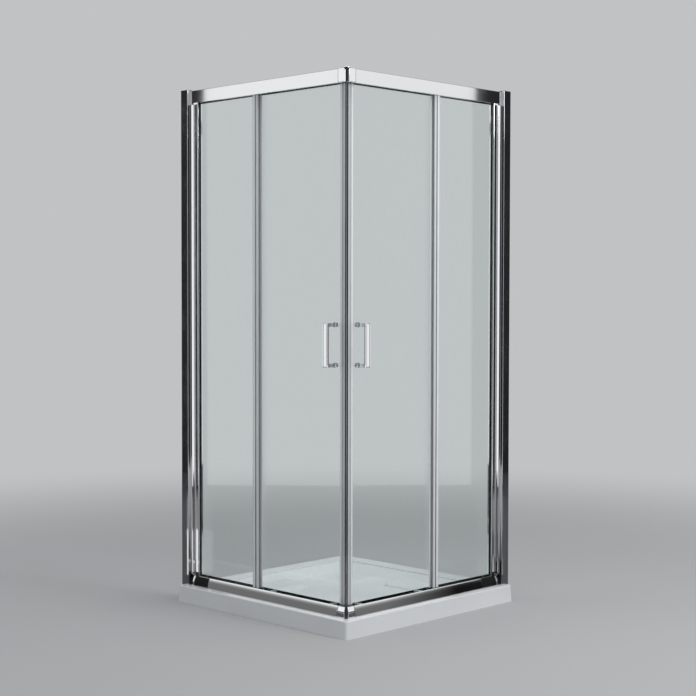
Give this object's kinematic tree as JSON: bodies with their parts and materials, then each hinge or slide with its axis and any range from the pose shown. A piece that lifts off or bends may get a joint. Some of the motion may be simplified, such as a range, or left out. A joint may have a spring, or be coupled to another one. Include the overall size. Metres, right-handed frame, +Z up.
{
  "type": "corner shower enclosure",
  "caption": "Corner shower enclosure with a square tray, framed fixed glass and sliding glass doors that meet at the front corner.",
  "frame": {"origin": "the middle of the tray's underside, on the floor", "axes": "+Z up; the left glazed side faces -Y and the right one faces +X, so the doors meet at the front corner at +X -Y, and the walls stand at -X and +Y"},
  "size_m": [0.9, 0.9, 1.9272],
  "materials": {
    "tray": "smooth white gloss",
    "chrome": "bright polished",
    "silver": "polished anodised",
    "clear_glass": "clear toughened",
    "clear_seal": "clear soft vinyl",
    "dark_rubber": "black, matt",
    "black_plastic": "black moulded",
    "white_plastic": "white moulded",
    "steel": "stainless"
  },
  "bodies": {
    "frame": {"shower_tray": "tray", "waste_flange": "chrome", "waste_washer": "dark_rubber", "waste_nut": "white_plastic", "waste_grate": "chrome", "waste_screw": "steel", "top_corner_connector": "chrome", "bottom_corner_connector": "chrome", "top_corner_key": "black_plastic", "bottom_corner_key": "black_plastic", "corner_screws": "steel", "left_wall_profile": "silver", "left_wall_profile_cap": "black_plastic", "left_jamb": "silver", "left_jamb_screws": "steel", "left_rail_blocks": "silver", "left_top_rail": "silver", "left_bottom_rail": "silver", "left_fixed_glass": "clear_glass", "left_fixed_glass_gaskets": "dark_rubber", "left_fixed_edge_seal": "clear_seal", "left_door_stops": "dark_rubber", "right_wall_profile": "silver", "right_wall_profile_cap": "black_plastic", "right_jamb": "silver", "right_jamb_screws": "steel", "right_rail_blocks": "silver", "right_top_rail": "silver", "right_bottom_rail": "silver", "right_fixed_glass": "clear_glass", "right_fixed_glass_gaskets": "dark_rubber", "right_fixed_edge_seal": "clear_seal", "right_door_stops": "dark_rubber"},
    "left_door": {"left_door_glass": "clear_glass", "left_door_magnet_seal": "clear_seal", "left_door_trailing_seal": "clear_seal", "left_door_handle": "chrome", "left_handle_fixings": "chrome", "left_roller_bolts": "steel", "left_roller_bushes": "white_plastic"},
    "right_door": {"right_door_glass": "clear_glass", "right_door_magnet_seal": "clear_seal", "right_door_trailing_seal": "clear_seal", "right_door_handle": "chrome", "right_handle_fixings": "chrome", "right_roller_bolts": "steel", "right_roller_bushes": "white_plastic"},
    "left_top_wheel_wall_side": {"left_top_wheel_wall_side": "white_plastic"},
    "left_top_wheel_corner_side": {"left_top_wheel_corner_side": "white_plastic"},
    "left_bottom_wheel_wall_side": {"left_bottom_wheel_wall_side": "white_plastic"},
    "left_bottom_wheel_corner_side": {"left_bottom_wheel_corner_side": "white_plastic"},
    "right_top_wheel_wall_side": {"right_top_wheel_wall_side": "white_plastic"},
    "right_top_wheel_corner_side": {"right_top_wheel_corner_side": "white_plastic"},
    "right_bottom_wheel_wall_side": {"right_bottom_wheel_wall_side": "white_plastic"},
    "right_bottom_wheel_corner_side": {"right_bottom_wheel_corner_side": "white_plastic"}
  },
  "joints": [
    {"name": "left_door_slide", "type": "slide", "parent": "frame", "child": "left_door", "axis": [-1, 0, 0], "range_m": [0, 0.29]},
    {"name": "right_door_slide", "type": "slide", "parent": "frame", "child": "right_door", "axis": [0, 1, 0], "range_m": [0, 0.29]},
    {"name": "left_top_wheel_wall_side_spin", "type": "hinge", "parent": "left_door", "child": "left_top_wheel_wall_side", "pos_m": [0.002, -0.3817, 1.8978], "axis": [0, 1, 0], "range_deg": [-1680, 0]},
    {"name": "left_top_wheel_corner_side_spin", "type": "hinge", "parent": "left_door", "child": "left_top_wheel_corner_side", "pos_m": [0.31, -0.3817, 1.8978], "axis": [0, 1, 0], "range_deg": [-1680, 0]},
    {"name": "left_bottom_wheel_wall_side_spin", "type": "hinge", "parent": "left_door", "child": "left_bottom_wheel_wall_side", "pos_m": [0.002, -0.3817, 0.0878], "axis": [0, 1, 0], "range_deg": [-2390, 0]},
    {"name": "left_bottom_wheel_corner_side_spin", "type": "hinge", "parent": "left_door", "child": "left_bottom_wheel_corner_side", "pos_m": [0.31, -0.3817, 0.0878], "axis": [0, 1, 0], "range_deg": [-2390, 0]},
    {"name": "right_top_wheel_wall_side_spin", "type": "hinge", "parent": "right_door", "child": "right_top_wheel_wall_side", "pos_m": [0.3817, -0.002, 1.8978], "axis": [1, 0, 0], "range_deg": [-1680, 0]},
    {"name": "right_top_wheel_corner_side_spin", "type": "hinge", "parent": "right_door", "child": "right_top_wheel_corner_side", "pos_m": [0.3817, -0.31, 1.8978], "axis": [1, 0, 0], "range_deg": [-1680, 0]},
    {"name": "right_bottom_wheel_wall_side_spin", "type": "hinge", "parent": "right_door", "child": "right_bottom_wheel_wall_side", "pos_m": [0.3817, -0.002, 0.0878], "axis": [1, 0, 0], "range_deg": [-2390, 0]},
    {"name": "right_bottom_wheel_corner_side_spin", "type": "hinge", "parent": "right_door", "child": "right_bottom_wheel_corner_side", "pos_m": [0.3817, -0.31, 0.0878], "axis": [1, 0, 0], "range_deg": [-2390, 0]}
  ],
  "couplings": [
    {"joint": "left_top_wheel_wall_side_spin", "follows": "left_door_slide", "rad_per_m": -100},
    {"joint": "left_top_wheel_corner_side_spin", "follows": "left_door_slide", "rad_per_m": -100},
    {"joint": "left_bottom_wheel_wall_side_spin", "follows": "left_door_slide", "rad_per_m": -142.86},
    {"joint": "left_bottom_wheel_corner_side_spin", "follows": "left_door_slide", "rad_per_m": -142.86},
    {"joint": "right_top_wheel_wall_side_spin", "follows": "right_door_slide", "rad_per_m": -100},
    {"joint": "right_top_wheel_corner_side_spin", "follows": "right_door_slide", "rad_per_m": -100},
    {"joint": "right_bottom_wheel_wall_side_spin", "follows": "right_door_slide", "rad_per_m": -142.86},
    {"joint": "right_bottom_wheel_corner_side_spin", "follows": "right_door_slide", "rad_per_m": -142.86}
  ]
}
